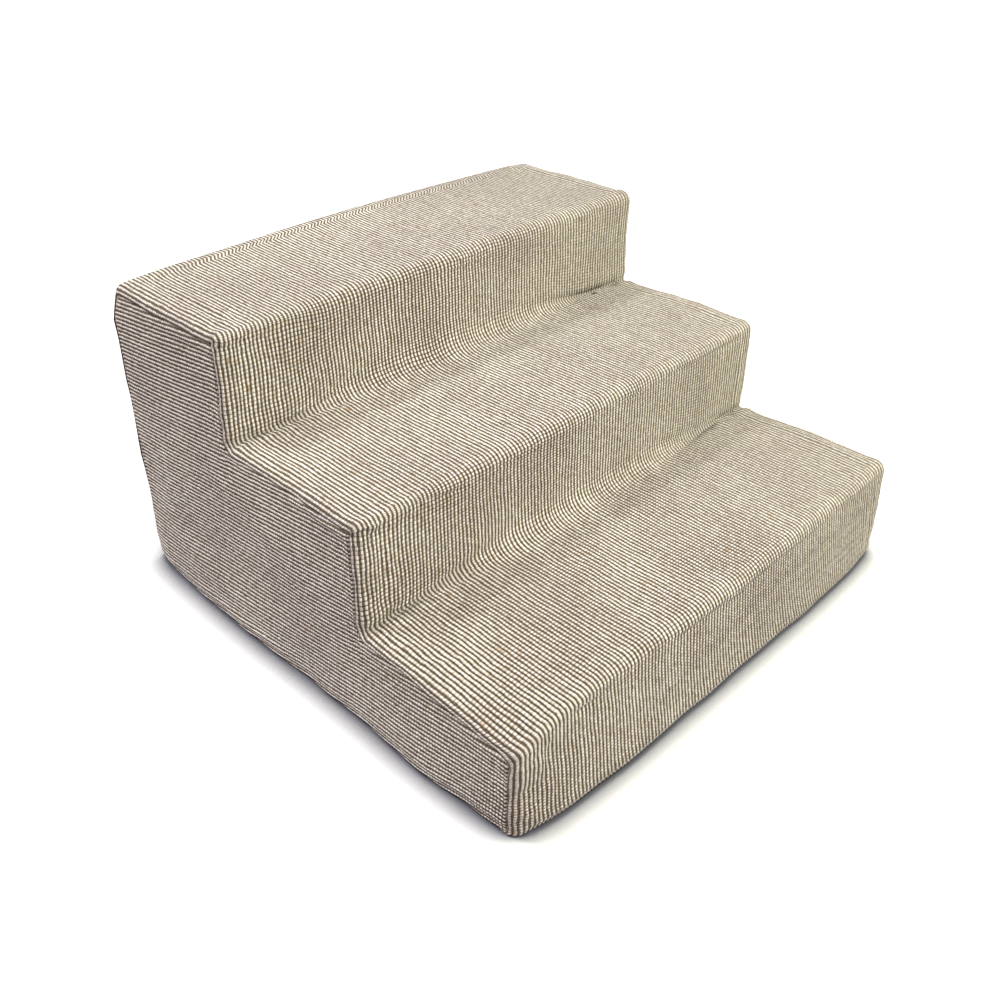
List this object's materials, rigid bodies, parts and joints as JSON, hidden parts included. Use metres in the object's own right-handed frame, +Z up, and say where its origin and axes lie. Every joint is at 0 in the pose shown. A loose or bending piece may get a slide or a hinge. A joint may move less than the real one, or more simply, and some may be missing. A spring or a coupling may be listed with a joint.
{
  "type": "pet stairs",
  "caption": "Low foam stairs for pets in a fitted cover of ribbed beige cloth, with a zip across the back and a flat black non-slip base.",
  "frame": {"origin": "on the floor, at the middle of the outline seen from above", "axes": "+Z up, -Y towards the foot of the steps, +Y towards the back with the zip, +X to the right as seen from the foot"},
  "size_m": [0.5, 0.4957, 0.2875],
  "materials": {
    "foam": "cut open-cell polyurethane foam",
    "ribbed_cloth": "ribbed upholstery cloth, ivory cords over a brown ground",
    "base_cloth": "black cloth with small grip dots",
    "zip_tape": "woven polyester tape",
    "zip_coil": "nylon coil",
    "zip_metal": "nickel-plated zinc, tumbled"
  },
  "bodies": {
    "stairs": {"foam_slab_lower": "foam", "foam_slab_middle": "foam", "foam_slab_upper": "foam", "cover_step_strip": "ribbed_cloth", "cover_back_band": "ribbed_cloth", "cover_side_left": "ribbed_cloth", "cover_side_right": "ribbed_cloth", "base_panel": "base_cloth", "zip_tape_upper": "zip_tape", "zip_tape_lower": "zip_tape", "zip_teeth_upper": "zip_coil", "zip_teeth_lower": "zip_coil", "zip_top_stops": "zip_metal", "zip_bottom_stop": "zip_metal"},
    "slider": {"zip_slider": "zip_metal"},
    "pull": {"zip_pull": "zip_metal"}
  },
  "joints": [
    {"name": "zip_travel", "type": "slide", "parent": "stairs", "child": "slider", "axis": [1, 0, 0], "range_m": [0, 0.3974]},
    {"name": "pull_swing", "type": "hinge", "parent": "slider", "child": "pull", "pos_m": [-0.1992, 0.24555, 0.06], "axis": [0, 0, 1], "range_deg": [0, 180]}
  ]
}
